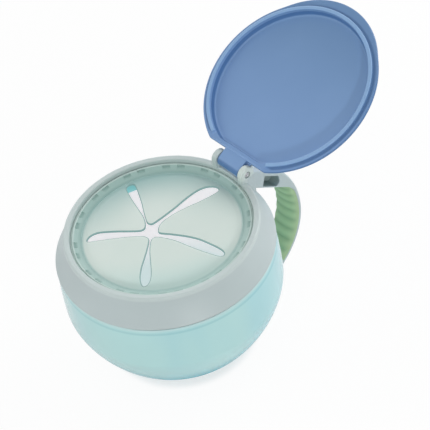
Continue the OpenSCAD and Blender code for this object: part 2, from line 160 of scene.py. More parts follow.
class Finish(NodeMaker):
    """A material and its nodes."""

    def __init__(self, name):
        self.material = bpy.data.materials.new(name)
        self.material.use_nodes = True
        super().__init__(self.material.node_tree)
        self.tree.nodes.clear()
        self.place = self.node("ShaderNodeTexCoord", out="Object")

    def noise(self, scale, detail=2.0, place=None):
        values = {"Vector": place or self.place, "Scale": scale, "Detail": detail}
        return self.node("ShaderNodeTexNoise", {}, values, "Fac")

    def cloud(self, scale, detail=3.0):
        """Soft patches from 0 to 1."""
        return self.between(self.noise(scale, detail), 0.3, 0.7)

    def layers(self, colour, *layers):
        """A first colour with (amount, colour) pairs laid over it in turn; colours as 0-255 screen values."""
        tone = srgb(*colour)
        for amount, shade in layers:
            sockets = {0: amount, 6: tone, 7: srgb(*shade)}
            tone = self.node("ShaderNodeMix", {"data_type": "RGBA"}, sockets, 2)
        return tone

    def height(self):
        """The height above the table, in metres."""
        return self.part(self.place, 2)

    def radius(self):
        """The distance from the bowl's axis, in metres."""
        return self.off_axis(self.place)

    def over(self, value, low, high):
        """0 at low, 1 at high; both in millimetres."""
        return self.between(value, low * MM, high * MM)

    def band(self, value, low, full, fade, end):
        """1 from full to fade, soft down to 0 at low and at end; all in millimetres."""
        return self.over(value, low, full) * (1.0 - self.over(value, fade, end))

    def grain(self, size, strength):
        values = {"Strength": strength, "Distance": BUMP_DEPTH, "Height": self.noise(size)}
        return self.node("ShaderNodeBump", {}, values)

    def stored(self, name):
        """A value kept on the mesh under this name."""
        return self.node("ShaderNodeAttribute", {"attribute_name": name}, out="Fac")

    def coat(self, values):
        """The material, as one Principled shader with these values."""
        return self.surface(self.node("ShaderNodeBsdfPrincipled", {}, values))

    def surface(self, shader):
        self.node("ShaderNodeOutputMaterial", {}, {"Surface": shader}, None)
        return self.material


class Growth(NodeMaker):
    """A geometry nodes tree with named inputs, run on a mesh."""

    def __init__(self, name, **inputs):
        super().__init__(bpy.data.node_groups.new(name, "GeometryNodeTree"))
        face = self.tree.interface
        kinds = {"Geometry": "NodeSocketGeometry", "Finish": "NodeSocketMaterial"}
        sockets = {key: face.new_socket(key, in_out="INPUT", socket_type=kinds.get(key, "NodeSocket" + kind))
                   for key, kind in {"Geometry": "Geometry", **inputs, "Finish": "Material"}.items()}
        face.new_socket("Geometry", in_out="OUTPUT", socket_type="NodeSocketGeometry")
        given = self.tree.nodes.new("NodeGroupInput")
        self.given = {key: Value(self, given.outputs[i]) for i, key in enumerate(sockets)}
        self.identifiers = {key: socket.identifier for key, socket in sockets.items()}

    def keep(self, geometry, name, value):
        """Stores a value for each point under this name, for the finish to read."""
        return self.node("GeometryNodeStoreNamedAttribute", {"data_type": "FLOAT", "domain": "POINT"},
                         {"Geometry": geometry, "Name": name, "Value": value})

    def result(self, geometry):
        real = self.node("GeometryNodeRealizeInstances", {}, {0: geometry})
        coat = self.node("GeometryNodeSetMaterial", {}, {0: real, "Material": self.given["Finish"]})
        self.node("NodeGroupOutput", {}, {0: coat}, None)

    def grow(self, piece, **values):
        """Runs the tree on the piece and keeps the result as a plain mesh."""
        step = piece.modifiers.new("grow", "NODES")
        step.node_group = self.tree
        for key, value in values.items():
            step[self.identifiers[key]] = value
        bake_modifiers(piece)


def moulded(name, colour, shade, roughness, grain=0.06, grain_size=2600.0, painted_light=None, **constants):
    """Satin moulded plastic: a faint cloudiness, a fine moulded grain and uneven gloss, with any painted
    light and shade laid over its colour.
    """
    f = Finish(name)
    tone = f.layers(colour, (f.cloud(28.0) * 0.6, shade), *(painted_light(f) if painted_light else ()))
    gloss = f.between(f.noise(60.0, 4.0), 0.25, 0.75) * 0.07 + (roughness - 0.035)
    return f.coat({"Base Color": tone, "Roughness": gloss, "Normal": f.grain(grain_size, grain), **constants})


# ---- shapes
def placed(name, data):
    """A new object in the scene."""
    made = bpy.data.objects.new(name, data)
    bpy.context.scene.collection.objects.link(made)
    return made


def mesh_object(name, points, faces, sharp=SHARP):
    """A new object from points in millimetres, smooth except over edges sharper than the angle."""
    mesh = bpy.data.meshes.new(name)
    mesh.from_pydata([[c * MM for c in p] for p in points], [], faces)
    piece = placed(name, mesh)
    tidy_mesh(piece, sharp)
    return piece


def tidy_mesh(piece, sharp=SHARP):
    """Merges doubles, turns the faces outward and marks the sharp edges."""
    bm = bmesh.new()
    bm.from_mesh(piece.data)
    bmesh.ops.remove_doubles(bm, verts=bm.verts, dist=1e-7)
    bmesh.ops.dissolve_degenerate(bm, edges=bm.edges, dist=1e-8)
    bmesh.ops.recalc_face_normals(bm, faces=bm.faces)
    for face in bm.faces:
        face.smooth = True
    for edge in bm.edges:
        edge.smooth = not (edge.is_manifold and edge.calc_face_angle(0.0) > math.radians(sharp))
    bm.to_mesh(piece.data)
    bm.free()


def bake_modifiers(piece):
    """Turns the piece and its modifiers into a plain mesh."""
    graph = bpy.context.evaluated_depsgraph_get()
    graph.update()
    plain = bpy.data.meshes.new_from_object(piece.evaluated_get(graph))
    piece.modifiers.clear()
    old, piece.data = piece.data, plain
    bpy.data.meshes.remove(old)


def combine(piece, others, operation):
    """Joins the other pieces to this one, or cuts them out of it."""
    for other in others:
        step = piece.modifiers.new("join", "BOOLEAN")
        step.operation, step.solver, step.object = operation, "EXACT", other
        bake_modifiers(piece)
        bpy.data.objects.remove(other)


def even_normals(piece, sharp):
    """Weighs the normals by face area, so that flats stay flat beside rounded edges."""
    tidy_mesh(piece, sharp)
    step = piece.modifiers.new("weigh", "WEIGHTED_NORMAL")
    step.keep_sharp, step.weight = True, 60
    bake_modifiers(piece)


def arc(cx, cz, r, a0, a1, n):
    """Points along an arc of n steps, its angles in degrees."""
    turns = [math.radians(a0 + (a1 - a0) * i / n) for i in range(n + 1)]
    return [(cx + r * math.cos(a), cz + r * math.sin(a)) for a in turns]


def circle(r, z, n):
    """Points round the axis."""
    return [(r * math.cos(a), r * math.sin(a), z) for a in (2 * math.pi * k / n for k in range(n))]


def loop_area(loop):
    """The area of a closed outline, below 0 if it runs clockwise."""
    ahead = np.roll(loop, -1, 0)
    return 0.5 * float(np.sum(loop[:, 0] * ahead[:, 1] - ahead[:, 0] * loop[:, 1]))


def unit(rows):
    return rows / np.linalg.norm(rows, axis=1)[:, None]


def outward(loop):
    """Unit directions out of a closed outline, one for each of its points."""
    way = unit(np.roll(loop, -1, 0) - loop) + unit(loop - np.roll(loop, 1, 0))
    away = unit(np.stack([way[:, 1], -way[:, 0]], 1))
    return -away if loop_area(loop) < 0 else away


def strips(loops):
    """Quads between each loop of point numbers and the next."""
    return [(low[k], low[(k + 1) % len(low)], high[(k + 1) % len(low)], high[k])
            for low, high in zip(loops, loops[1:]) for k in range(len(low))]


def numbered(count, loops, start=0):
    """The point numbers of so many loops of count points each."""
    return [list(range(start + count * i, start + count * (i + 1))) for i in range(loops)]


def rounded(corners, steps):
    """A closed outline from (x, z, radius) corners."""
    out = []
    for i, (x, z, r) in enumerate(corners):
        here = np.array((x, z))
        back = np.array(corners[i - 1][:2]) - here
        ahead = np.array(corners[(i + 1) % len(corners)][:2]) - here
        la, lb = np.linalg.norm(back), np.linalg.norm(ahead)
        straight = abs(back[0] * ahead[1] - back[1] * ahead[0]) < 1e-6 * la * lb
        if r <= 0 or straight:
            out.append((x, z))
            continue
        back, ahead = back / la, ahead / lb
        half = math.acos(max(-1.0, min(1.0, float(back @ ahead)))) / 2
        reach = min(r / math.tan(half), 0.48 * la, 0.48 * lb)
        r = reach * math.tan(half)
        middle = (back + ahead) / np.linalg.norm(back + ahead)
        centre = here + middle * r / math.sin(half)
        start, end = here + back * reach - centre, here + ahead * reach - centre
        first = math.atan2(start[1], start[0])
        turn = math.atan2(start[0] * end[1] - start[1] * end[0], float(start @ end))
        for a in (first + turn * k / steps for k in range(steps + 1)):
            out.append((centre[0] + r * math.cos(a), centre[1] + r * math.sin(a)))
    return out


def lathe(name, profile, around, closed=True, sharp=SHARP):
    """Turns (radius, height) points round the axis; a point on the axis becomes a pole."""
    points, rings, faces = [], [], []
    for r, z in profile:
        added = [(0.0, 0.0, z)] if r < ON_AXIS else circle(r, z, around)
        rings.append(list(range(len(points), len(points) + len(added))))
        points += added
    for low, high in list(zip(rings, rings[1:])) + ([(rings[-1], rings[0])] if closed else []):
        if len(low) == len(high):
            faces += strips([low, high]) if len(low) > 1 else []
            continue
        for k in range(around):
            n = (k + 1) % around
            faces.append((low[0], high[n], high[k]) if len(low) == 1 else (low[k], low[n], high[0]))
    return mesh_object(name, points, faces, sharp)


def plate(name, outline, y0, y1, edge=0.0, steps=4):
    """An (x, z) outline made thick from y0 to y1, its edges rounded by edge, one value or one a point."""
    ring = np.array(outline)
    clockwise = loop_area(ring) < 0
    ring = ring[::-1] if clockwise else ring
    if np.isscalar(edge):
        radii = np.full(len(ring), edge)
    else:
        radii = np.array(edge[::-1] if clockwise else edge)
    inward, ahead = -outward(ring), unit(np.roll(ring, -1, 0) - ring)
    lean = np.clip(np.einsum("ij,ij->i", inward, np.stack([-ahead[:, 1], ahead[:, 0]], 1)), 0.5, 1.0)
    inward /= lean[:, None]
    levels = [(math.pi / 2 * (1 - i / steps), y0, 1) for i in range(steps + 1)]
    levels += [(math.pi / 2 * i / steps, y1, -1) for i in range(steps + 1)]
    points = []
    for a, y, side in levels:
        flat = ring + inward * (radii * (1 - math.cos(a)))[:, None]
        points += [(x, y + side * r * (1 - math.sin(a)), z) for (x, z), r in zip(flat, radii)]
    loops = numbered(len(ring), len(levels))
    faces = [tuple(loops[0]), tuple(reversed(loops[-1]))] + strips(loops)
    return mesh_object(name, points, faces)


def peg(name, r, half, edge=0.0, count=48, steps=4):
    """A round bar along the hinge's line, as long on one side as on the other."""
    return plate(name, arc(HINGE_X, HINGE_Z, r, 0, 360, count)[:-1], -half, half, edge, steps)


def finish_piece(piece, material, body, slot, *nodes):
    """Gives a finished piece its materials and its body, and hides the imported parts that it stands for. The
    slot is not used.
    """
    piece.data.materials.clear()
    for one in material if isinstance(material, list) else [material]:
        piece.data.materials.append(one)
    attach(piece, body)
    if nodes:
        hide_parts(*nodes)


def bent(start, pull, end, t):
    """A place on the curve from start to end that is drawn towards pull."""
    return tuple((1 - t) ** 2 * start + 2 * t * (1 - t) * pull + t * t * end)


# ---- the handle's lines
def back_line(depth, low_a=TIP_A):
    """The handle's outer line, moved in by depth, from the arm down to an angle below its middle."""
    bx = UPPER_X + (UPPER_R - BEND_R) * math.cos(math.radians(BEND_A))
    bz = HANDLE_Z + (UPPER_R - BEND_R) * math.sin(math.radians(BEND_A))
    bend = arc(bx, bz, BEND_R - depth, ARM_A, BEND_A, 10)
    upper = arc(UPPER_X, HANDLE_Z, UPPER_R - depth, BEND_A - 1.5, 0, 24)
    lower = arc(LOWER_X, HANDLE_Z, LOWER_R - depth, -1.5, -low_a, 36)
    return bend + upper + lower


ARM_END = np.array(back_line(0.0)[0])
ARM_WAY = np.array((math.sin(math.radians(ARM_A)), -math.cos(math.radians(ARM_A))))
ARM_UP = np.array((math.cos(math.radians(ARM_A)), math.sin(math.radians(ARM_A))))
SLOT_AT = ARM_END - ARM_UP * (ARM_T - 1.0 - 2.45) + ARM_WAY * 1.4


# ---- the open lid's plane
LID_PIVOT = np.array((HINGE_X, 0.0, HINGE_Z))
LID_WAY = np.array((math.cos(LID_OPEN), 0.0, -math.sin(LID_OPEN)))
LID_UP = np.array((math.sin(LID_OPEN), 0.0, math.cos(LID_OPEN)))
LID_MIDDLE = LID_PIVOT - HINGE_X * LID_WAY + (LID_Z - HINGE_Z) * LID_UP


# ---- finishes
def bowl_finish():
    """Tinted plastic, deeper in colour where the wall turns under; right under the collar's hem a painted
    highlight strip, and a painted shadow line below it.
    """
    f = Finish("tinted_bowl")
    z = f.height()
    streak = f.noise(1.0, 2.0, f.vector("MULTIPLY", f.place, (30.0, 30.0, 9.0)))
    # painted shadow: a dark line below the collar's hem
    hem_shadow = f.band(z, SHOULDER_Z - 3.0, SHOULDER_Z - 2.4, SHOULDER_Z - 2.0, SHOULDER_Z - 1.3)
    tone = f.layers(
        (184, 226, 225), (f.between(streak, 0.35, 0.65), (173, 220, 225)), (hem_shadow * 0.3, (120, 186, 194)),
        # painted highlight: a pale strip right under the collar's hem
        (f.over(z, SHOULDER_Z - 1.3, SHOULDER_Z - 0.5) * 0.7, (205, 232, 233)),
        ((1.0 - f.over(z, 10.0, 25.0)) * 0.85, (108, 203, 219)))
    return f.coat({
        "Base Color": tone, "Roughness": f.cloud(45.0) * 0.05 + 0.22, "Normal": f.grain(900.0, 0.02),
        "IOR": 1.45, "Specular IOR Level": 0.2, "Coat Weight": f.over(z, 6.0, 20.0) * 0.9,
        "Coat Roughness": 0.07, "Coat IOR": 1.5})


def bowl_inside_finish():
    """The inner face of the bowl, with a painted glow in place of light coming through its own wall below the
    collar: darker at the floor, palest up the side, and painted shade under the collar.
    """
    f = Finish("tinted_bowl_inside")
    z = f.height()
    tone = f.layers((208, 217, 217), (f.over(z, 8.0, 20.0), (240, 230, 232)),
                    (f.over(z, SHOULDER_Z - 8.0, SHOULDER_Z - 3.5), (124, 184, 186)))
    # the emission is a painted glow, standing in for light coming through the wall
    return f.coat({
        "Base Color": tone, "Roughness": f.cloud(40.0, 2.0) * 0.06 + 0.3,
        "Emission Color": tone, "Emission Strength": 0.4, "Normal": f.grain(900.0, 0.02)})


def membrane_finish():
    """Milky soft silicone, with painted shade towards the far side and at the rim by the ring, and tealer
    towards the near side.
    """
    f = Finish("soft_membrane")
    r, to_far = f.radius(), f.dot(f.place, FAR_WAY)
    # painted shade: deeper on the far side, most of all towards the rim
    far = f.over(to_far, -6.0, 38.0) * f.over(r, 8.0, 36.0)
    near = f.over(to_far, -10.0, -32.0) * f.over(r, 10.0, 30.0)
    tone = f.layers(
        (220, 232, 226), (f.cloud(35.0) * 0.6, (213, 229, 222)), (far, (136, 178, 176)),
        # the last layer is painted shade at the rim, where the ring stands over the membrane
        (near * 0.5, (178, 216, 212)), (f.over(r, WINDOW_R - 1.2, WINDOW_R + 0.2), (166, 198, 194)))
    return f.coat({"Base Color": tone, "Roughness": f.cloud(70.0) * 0.08 + 0.42,
                   "Normal": f.grain(2200.0, 0.04), "Sheen Weight": 0.1})


def cut_shade_finish():
    """The cut edge of the silicone, painted darker than its face as shade in the slits."""
    f = Finish("silicone_cut")
    tone = f.layers((144, 180, 177), (f.cloud(60.0) * 0.5, (132, 169, 167)))
    return f.coat({"Base Color": tone, "Roughness": f.cloud(90.0) * 0.08 + 0.46})


def ring_painted_light(f):
    """Painted light on the ridge and its outer seam; painted shade at the foot and in the shallow windows,
    which are darkened to look deep.
    """
    r = f.radius()
    seam = f.over(r, RING_R - 0.35, RING_R - 0.25) * f.over(f.height(), 63.9, 64.1)
    foot = 1.0 - f.over(r, WINDOW_R + 0.2, WINDOW_R + 1.3)
    # ridge and seam: painted light; foot and windows: painted shade
    return [(f.over(r, 36.3, 36.7), (192, 212, 207)), (seam, (228, 240, 236)),
            (foot * 0.6, (132, 167, 163)), (f.stored("window") * 0.45, (112, 150, 144))]


def collar_painted_light(f):
    """Painted light on the thin bead and the near ear; painted shade on the inner edge and in the strap slot.
    """
    r, x, y, z = (f.radius(), *(f.part(f.place, axis) for axis in range(3)))
    bead = f.over(z, BEAD_Z - 2.0, BEAD_Z - 1.0) * (1.0 - f.over(r, BEAD_R - 0.2, BEAD_R + 0.9))
    mouth = (1.0 - f.over(r, LIP_R + 0.15, LIP_R + 0.5)) * f.over(z, LIP_Z - 0.4, LIP_Z)
    ear = (1.0 - f.over(y, -6.0, -4.5)) * f.over(z, HINGE_Z - 2.3, HINGE_Z - 0.8)
    ear = ear * (1.0 - f.over(x, 44.0, 46.0))
    seat = f.vector("SUBTRACT", f.place, in_metres(SLOT_AT[0], 0.0, SLOT_AT[1]))
    down, up = (f.dot(seat, (way[0], 0.0, way[1])) for way in (ARM_WAY, ARM_UP))
    slot = (1.0 - f.over(abs(up + 0.25 * MM), 2.76, 2.90)) * (1.0 - f.over(abs(down + 2.2 * MM), 6.0, 6.3))
    slot = slot * (1.0 - f.over(abs(y), 5.6, 6.8))
    # bead and ear: painted light; mouth and slot: painted shade
    return [(bead * 0.6, (206, 219, 217)), (mouth * 0.6, (182, 198, 195)),
            (ear * 0.6, (222, 234, 228)), (slot * 0.6, (128, 152, 150))]


def lid_painted_light(f):
    """Painted shade deepening towards the thumb end, on the hollow's wall and in the corner outside the plug
    ring; a painted highlight on the ring's tip.
    """
    from_pivot = f.vector("SUBTRACT", f.place, in_metres(*LID_PIVOT))
    level = f.dot(from_pivot, tuple(LID_UP)) + HINGE_Z * MM
    reach = f.dot(from_pivot, tuple(-LID_WAY))
    from_middle = f.vector("SUBTRACT", f.place, in_metres(*LID_MIDDLE))
    off, to_hinge = f.vector("LENGTH", from_middle, out=1), f.dot(from_middle, tuple(LID_WAY))
    tip = 1.0 - f.over(level, TIP_Z + 0.1, TIP_Z + 0.6)
    wall = f.band(level, LID_Z - 0.1, LID_Z + 0.3, LID_Z + 1.6, LID_Z + 2.3)
    corner = f.band(off, PLUG_R - 0.3, PLUG_R, PLUG_R + 0.8, PLUG_R + 1.4)
    corner = corner * f.band(level, LID_Z - 1.1, LID_Z - 0.6, LID_Z + 0.3, LID_Z + 1.0)
    corner = corner * (1.0 - f.over(to_hinge, CHORD_X - 3.0, CHORD_X - 2.0))
    # far end, wall and corner: painted shade; tip: painted highlight
    return [(f.over(reach, 20.0, 90.0) * 0.6, (98, 136, 176)), (tip * 0.8, (146, 184, 226)),
            (wall * 0.85, (72, 114, 166)), (corner * 0.7, (78, 114, 160))]


def grip_painted_shade(f):
    """Painted shade deepens the green in the grooves between the finger pads."""
    return [(f.stored("groove") * 0.6, (124, 158, 122))]


BOWL, BOWL_INSIDE = bowl_finish(), bowl_inside_finish()
MEMBRANE, MEMBRANE_CUT_SHADE = membrane_finish(), cut_shade_finish()
RING = moulded("ring_green", (160, 190, 184), (151, 183, 177), 0.4, painted_light=ring_painted_light)
COLLAR = moulded("shell_grey", (189, 202, 203), (183, 197, 198), 0.46, 0.08, painted_light=collar_painted_light)
LID = moulded("lid_blue", (130, 165, 211), (124, 159, 206), 0.46, 0.05, painted_light=lid_painted_light,
              **{"Specular IOR Level": 0.4})
GRIP = moulded("grip_green", (172, 198, 154), (164, 191, 147), 0.66, 0.14, 1800.0, painted_light=grip_painted_shade)
PIN = moulded("pin_steel", (196, 198, 200), (176, 178, 182), 0.34, 0.05, 3000.0, Metallic=1.0)


# ---- bowl
def bowl_side(inset, floor_z):
    """The bowl's side from its shoulder over the belly to the floor, set in by inset."""
    top = [(SHOULDER_R - inset + (BELLY_R - SHOULDER_R) * math.sin(u),
            BELLY_Z + (SHOULDER_Z - inset - BELLY_Z) * math.cos(u))
           for u in (math.pi / 2 * i / SHOULDER_STEPS for i in range(SHOULDER_STEPS + 1))]
    low = [(FOOT_R + (BELLY_R - inset - FOOT_R) * math.cos(t) ** BELLY_POWER,
            BELLY_Z - (BELLY_Z - floor_z) * math.sin(t) ** BELLY_POWER)
           for t in (math.pi / 2 * i / SIDE_STEPS for i in range(1, SIDE_STEPS))]
    return top + low + [(FOOT_R, floor_z)]


def looks_inside(face):
    """Whether a face of the bowl belongs to its inner side, below the rim and off the shoulder's top."""
    middle = face.center / MM
    r = math.hypot(middle.x, middle.y)
    inward = face.normal.x * middle.x + face.normal.y * middle.y < 0.0 or face.normal.z > 0.9
    within = BASE_T - 0.5 < middle.z < RIM_Z - 0.2 and r < BELLY_R - BOWL_WALL / 2
    on_shoulder = middle.z > SHOULDER_Z - 0.3 and r > NECK_R
    return inward and within and not on_shoulder


def build_bowl():
    throat = NECK_R - NECK_T
    inside = [(r, BASE_T) for r in (0.0, 8.0, 16.0, FOOT_R - 3.0)] + bowl_side(BOWL_WALL, BASE_T)[::-1]
    under_neck = [(throat + 1.2, SHOULDER_Z - 1.5), (throat + 0.2, SHOULDER_Z - 0.9), (throat, SHOULDER_Z)]
    rim = [(throat, RIM_Z - 0.4), (throat + 0.15, RIM_Z - 0.1), (throat + 0.4, RIM_Z),
           (NECK_R - 0.4, RIM_Z), (NECK_R - 0.1, RIM_Z - 0.1), (NECK_R, RIM_Z - 0.4)]
    neck_foot = [(NECK_R, SHOULDER_Z + 0.5), (NECK_R + 0.15, SHOULDER_Z + 0.15), (NECK_R + 0.5, SHOULDER_Z)]
    shoulder = [(SHOULDER_R - 0.5, SHOULDER_Z), (SHOULDER_R - 0.1, SHOULDER_Z - 0.25)]
    foot = [(FOOT_R - 2.6, 0.0), (FOOT_R - 3.0, 0.1), (FOOT_R - 3.8, 0.8), (FOOT_R / 2, 0.8), (0.0, 0.8)]
    profile = inside + under_neck + rim + neck_foot + shoulder + bowl_side(0.0, 0.0)[1:] + foot
    bowl = lathe("bowl_shell", profile, closed=False, around=256, sharp=50.0)
    finish_piece(bowl, [BOWL, BOWL_INSIDE], "bowl", "clear_teal", "bowl")
    # the inner faces take the painted glow
    for face in bowl.data.polygons:
        face.material_index = int(looks_inside(face))


def thread_growth():
    """One sloping ridge, repeated round the neck."""
    g = Growth("neck_thread", Radius="Float", Rise="Float", Turns="Float", Ridge="Float", Starts="Int")
    given = g.given
    spiral = g.node("GeometryNodeCurveSpiral", {}, {
        "Resolution": 96, "Start Radius": given["Radius"], "End Radius": given["Radius"],
        "Height": given["Rise"], "Rotations": given["Turns"]})
    section = g.node("GeometryNodeCurvePrimitiveCircle", {}, {"Resolution": 8, "Radius": given["Ridge"]})
    ridge = g.node("GeometryNodeCurveToMesh", {}, {
        "Curve": spiral, "Profile Curve": section, "Fill Caps": True})
    starts = g.node("GeometryNodeMeshLine", {}, {"Count": given["Starts"], "Offset": (0.0, 0.0, 0.0)})
    turn = g.node("GeometryNodeInputIndex") / given["Starts"] * (2 * math.pi)
    angle = g.node("ShaderNodeCombineXYZ", {}, {"Z": turn})
    g.result(g.node("GeometryNodeInstanceOnPoints", {}, {
        "Points": starts, "Instance": ridge, "Rotation": angle}))
    return g


def build_thread():
    thread = mesh_object("neck_thread", [], [])
    thread_growth().grow(thread, Radius=(NECK_R + 0.1) * MM, Rise=THREAD_RISE * MM, Turns=THREAD_TURNS,
                         Ridge=THREAD_T * MM, Starts=THREAD_STARTS, Finish=BOWL)
    thread.data.transform(Matrix.Translation((0.0, 0.0, THREAD_Z * MM)))
    tidy_mesh(thread)
    finish_piece(thread, BOWL, "bowl", "clear_teal")


# ---- insert
def window_growth():
    """Sinks pairs of windows into the ring's sloping inner wall, deepest under their top edges."""
    g = Growth("ring_windows", Pairs="Float", Split="Float", Width="Float", Low="Float", High="Float",
               Foot="Float", Soft="Float", Depth="Float")
    given = g.given
    half, soft, high = given["Width"] * 0.5, given["Soft"], given["High"]
    place = g.node("GeometryNodeInputPosition")
    x, y, z = (g.part(place, axis) for axis in range(3))
    r = g.off_axis(place)
    pitch, angle = g.maths("DIVIDE", 2 * math.pi, given["Pairs"]), g.maths("ARCTAN2", y, x)
    phase = g.node("ShaderNodeMath", {"operation": "WRAP"}, {0: angle, 1: pitch, 2: 0.0}) - pitch * 0.5
    across = abs(abs(phase) - given["Split"] * 0.5) * r
    inside = (1.0 - g.between(across, half - soft, half + soft)) * (1.0 - g.between(r, high - soft, high))
    inside = inside * g.between(r, given["Low"] - soft, high - soft * 2.0)
    inside = inside * g.between(z, given["Foot"], given["Foot"] + 0.2 * MM)
    lean = g.node("ShaderNodeCombineXYZ", {}, {"X": x / r, "Y": y / r, "Z": -0.7})
    shift = g.scaled(g.vector("NORMALIZE", lean), inside * given["Depth"])
    # the windows' mask is kept for the ring's painted shade
    marked = g.keep(given["Geometry"], "window", inside)
    g.result(g.node("GeometryNodeSetPosition", {}, {"Geometry": marked, "Offset": shift}))
    return g


def build_ring():
    bottom, under, brim = FLANGE_Z - 2.6, MEMBRANE_Z - MEMBRANE_T, NECK_R - 0.1
    flange_top, outside, clamp = FLANGE_Z + FLANGE_T, LIP_R - 0.08, WINDOW_R + 1.8
    foot, step, top = np.array((33.75, 63.25)), np.array((34.9, 63.7)), np.array((36.35, 64.55))
    slope = [(*(foot + (step - foot) * t), 0.0) for t in np.linspace(0.2, 0.9, 4)]
    slope += [(*(step + (top - step) * t), 0.0) for t in np.linspace(0.0, 1.0, 22)]
    ridge = [(x, z, 0.0) for x, z in arc(36.95, 64.42, 0.48, 145, 10, 12)]
    outer = [(37.5, 64.2, 0.15), (outside, 64.15, 0.1), (outside, flange_top, 0.2),
             (brim, flange_top, 0.3), (brim, FLANGE_Z, 0.3), (RING_R, FLANGE_Z, 0.2)]
    skirt = [(RING_R, bottom, 0.4), (RING_R - RING_WALL, bottom, 0.2), (RING_R - RING_WALL, under, 0.2),
             (clamp, under, 0.0), (clamp, MEMBRANE_Z, 0.0)]
    inner = [(WINDOW_R, MEMBRANE_Z, 0.0), (33.45, 63.05, 0.08), (*foot, 0.12)]
    outline = rounded(inner + slope + ridge + outer + skirt, 3)
    ring = lathe("carrier_ring", outline, around=60 * WINDOW_PAIRS)
    window_growth().grow(ring, Pairs=float(WINDOW_PAIRS), Split=math.radians(10.0), Width=3.2 * MM,
                         Low=34.95 * MM, High=36.42 * MM, Foot=63.2 * MM, Soft=0.12 * MM, Depth=0.6 * MM,
                         Finish=RING)
    even_normals(ring, 50.0)
    finish_piece(ring, RING, "insert", "ring_green", "flap_ring")


# The hole that the five slits make, once round it in millimetres
STAR = (
    (-0.8, 5.1), (3.0, 4.85), (11.0, 5.05), (19.0, 5.65), (24.5, 5.45), (28.3, 4.1), (30.6, 1.6),
    (30.8, -0.4), (29.6, -1.4), (26.3, -1.1), (20.8, 0.05), (14.8, 1.65), (8.8, 2.85), (3.8, 3.05),
    (0.4, 2.25), (-1.6, 0.65), (-2.35, -0.55), (-1.8, -1.95), (0.8, -5.85), (4.0, -11.2), (6.2, -16.2),
    (7.6, -22.2), (8.25, -26.2), (8.1, -28.9), (7.0, -30.1), (5.7, -29.4), (4.4, -26.4), (2.8, -21.7),
    (1.0, -15.4), (-0.5, -9.4), (-2.5, -4.85), (-4.3, -1.9), (-5.8, -1.15), (-7.1, -1.5), (-9.2, -3.15),
    (-12.2, -6.55), (-16.2, -12.0), (-19.2, -15.8), (-22.0, -18.3), (-24.1, -19.0), (-25.2, -18.3),
    (-24.8, -16.6), (-22.8, -13.6), (-19.2, -10.15), (-15.2, -7.15), (-11.2, -4.1), (-8.5, -1.75),
    (-7.35, -0.45), (-7.2, 1.05), (-7.9, 2.85), (-10.2, 5.35), (-14.2, 8.95), (-20.1, 13.75),
    (-23.7, 16.5), (-25.1, 17.7), (-24.8, 18.7), (-23.1, 19.35), (-20.7, 19.15), (-18.1, 17.75),
    (-13.7, 13.45), (-9.7, 8.95), (-7.2, 6.35), (-5.6, 5.5), (-4.1, 5.85), (-2.4, 7.75), (-0.7, 10.95),
    (0.6, 15.2), (2.1, 20.7), (3.8, 26.2), (4.8, 29.1), (6.2, 30.6), (8.0, 30.5), (9.0, 29.2),
    (8.5, 27.6), (6.7, 23.7), (3.9, 18.15), (1.3, 13.75), (-0.55, 10.35), (-1.7, 8.05), (-1.85, 6.5))


def smooth_loop(corners, steps):
    """A closed curve through the points."""
    p = np.array(corners)
    before, after, beyond = np.roll(p, 1, 0), np.roll(p, -1, 0), np.roll(p, -2, 0)
    square, cube = 2 * before - 5 * p + 4 * after - beyond, 3 * p - before - 3 * after + beyond
    curve = [0.5 * (2 * p + (after - before) * t + square * t ** 2 + cube * t ** 3)
             for t in (k / steps for k in range(steps))]
    return np.stack(curve, 1).reshape(-1, 2)


def in_loop(loop, x, y):
    """Whether a place lies inside a closed curve."""
    px, py = loop[:, 0], loop[:, 1]
    qx, qy = np.roll(px, -1), np.roll(py, -1)
    crossed = ((py > y) != (qy > y)) & (x < (qx - px) * (y - py) / (qy - py + 1e-12) + px)
    return bool(np.sum(crossed) % 2)


def distance_to(loop, place):
    """How far a place lies from a closed curve."""
    run, off = np.roll(loop, -1, 0) - loop, place - loop
    share = np.clip(np.einsum("ij,ij->i", off, run) / np.einsum("ij,ij->i", run, run), 0.0, 1.0)
    return float(np.min(np.linalg.norm(off - run * share[:, None], axis=1)))


def dome_z(x, y):
    """Height of the membrane's top."""
    t = min(1.0, max(0.0, (WINDOW_R - math.hypot(x, y)) / DOME_RUN))
    return MEMBRANE_Z + MEMBRANE_RISE * (t * t * (3 - 2 * t))


def sheet(hole):
    """Places and triangles that fill the membrane between its hole and its round rim."""
    rim = circle(WINDOW_R, 0.0, RIM_POINTS)
    border = [Vector(p) for p in hole] + [Vector(p[:2]) for p in rim]
    n = len(hole)
    edges = [(k, (k + 1) % n) for k in range(n)]
    edges += [(n + k, n + (k + 1) % RIM_POINTS) for k in range(RIM_POINTS)]
    grid = []
    for i in range(-40, 41):
        for j in range(-40, 41):
            x, y = (i + 0.5 * (j % 2)) * GRID_STEP, j * GRID_STEP * 0.866
            clear = np.min(np.hypot(hole[:, 0] - x, hole[:, 1] - y)) > GRID_STEP / 2
            if math.hypot(x, y) <= WINDOW_R - 0.7 and clear:
                grid.append(Vector((x, y)))
    vertices, _, triangles, _, _, _ = delaunay_2d_cdt(border + grid, edges, [], 0, 1e-6)
    flat = np.array([(v.x, v.y) for v in vertices])
    middles = [flat[list(tri)].mean(0) for tri in triangles]
    kept = [tri for tri, (x, y) in zip(triangles, middles)
            if math.hypot(x, y) < WINDOW_R and not in_loop(hole, x, y)]
    return flat, kept


